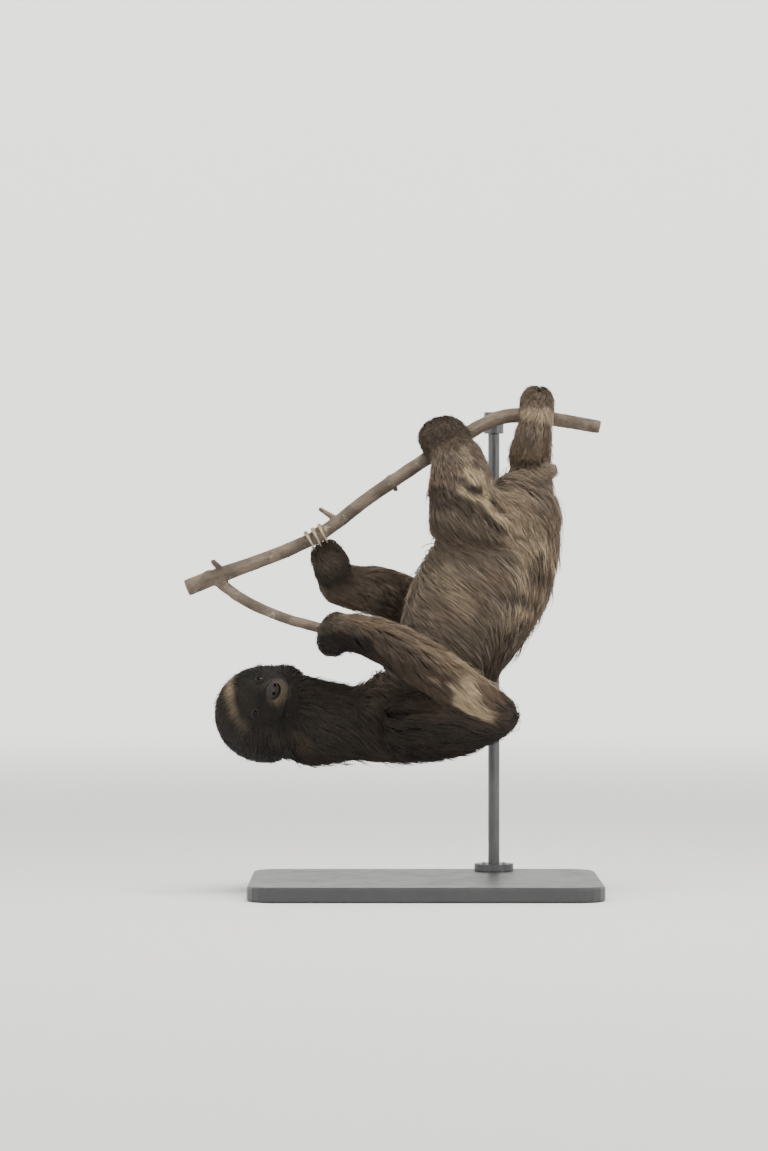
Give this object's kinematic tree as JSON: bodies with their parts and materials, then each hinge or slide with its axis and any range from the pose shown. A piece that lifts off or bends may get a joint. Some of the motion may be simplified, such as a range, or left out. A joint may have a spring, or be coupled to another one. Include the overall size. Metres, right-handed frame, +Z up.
{
  "type": "three-toed sloth",
  "caption": "Life-size model of a sloth hanging head down by its feet from a forked length of branch, with hooked claws and a round head, held by a rod on a flat base.",
  "frame": {"origin": "centre of the stand base's underside", "axes": "+Z up; +X along the base towards the sloth's back; the head is at -X; the sloth's right side and face look to -Y"},
  "size_m": [0.5011, 0.32, 0.6093],
  "materials": {
    "coat": "long coarse hair, grey-brown with paler tips",
    "nose_skin": "dark bare skin, slightly moist",
    "eye": "glossy dark brown, as a glass eye",
    "claw_horn": "yellow-brown horn, satin",
    "bark": "grey-brown bark",
    "base_paint": "satin charcoal paint",
    "rod_steel": "satin steel"
  },
  "bodies": {
    "root": {"head": "coat", "nose": "nose_skin", "eye_left": "eye", "eye_right": "eye", "neck": "coat", "trunk": "coat", "tail": "coat", "upper_arm_left": "coat", "forearm_left": "coat", "hand_left": "coat", "thigh_left": "coat", "shank_left": "coat", "foot_left": "coat", "upper_arm_right": "coat", "forearm_right": "coat", "hand_right": "coat", "thigh_right": "coat", "shank_right": "coat", "foot_right": "coat", "claw_hand_left_1": "claw_horn", "claw_hand_left_2": "claw_horn", "claw_hand_left_3": "claw_horn", "claw_hand_right_1": "claw_horn", "claw_hand_right_2": "claw_horn", "claw_hand_right_3": "claw_horn", "claw_foot_left_1": "claw_horn", "claw_foot_left_2": "claw_horn", "claw_foot_left_3": "claw_horn", "claw_foot_right_1": "claw_horn", "claw_foot_right_2": "claw_horn", "claw_foot_right_3": "claw_horn", "perch_main": "bark", "perch_fork": "bark", "stand_base": "base_paint", "stand_flange": "rod_steel", "stand_rod": "rod_steel", "stand_collar": "rod_steel", "stand_arm": "rod_steel"}
  },
  "joints": []
}
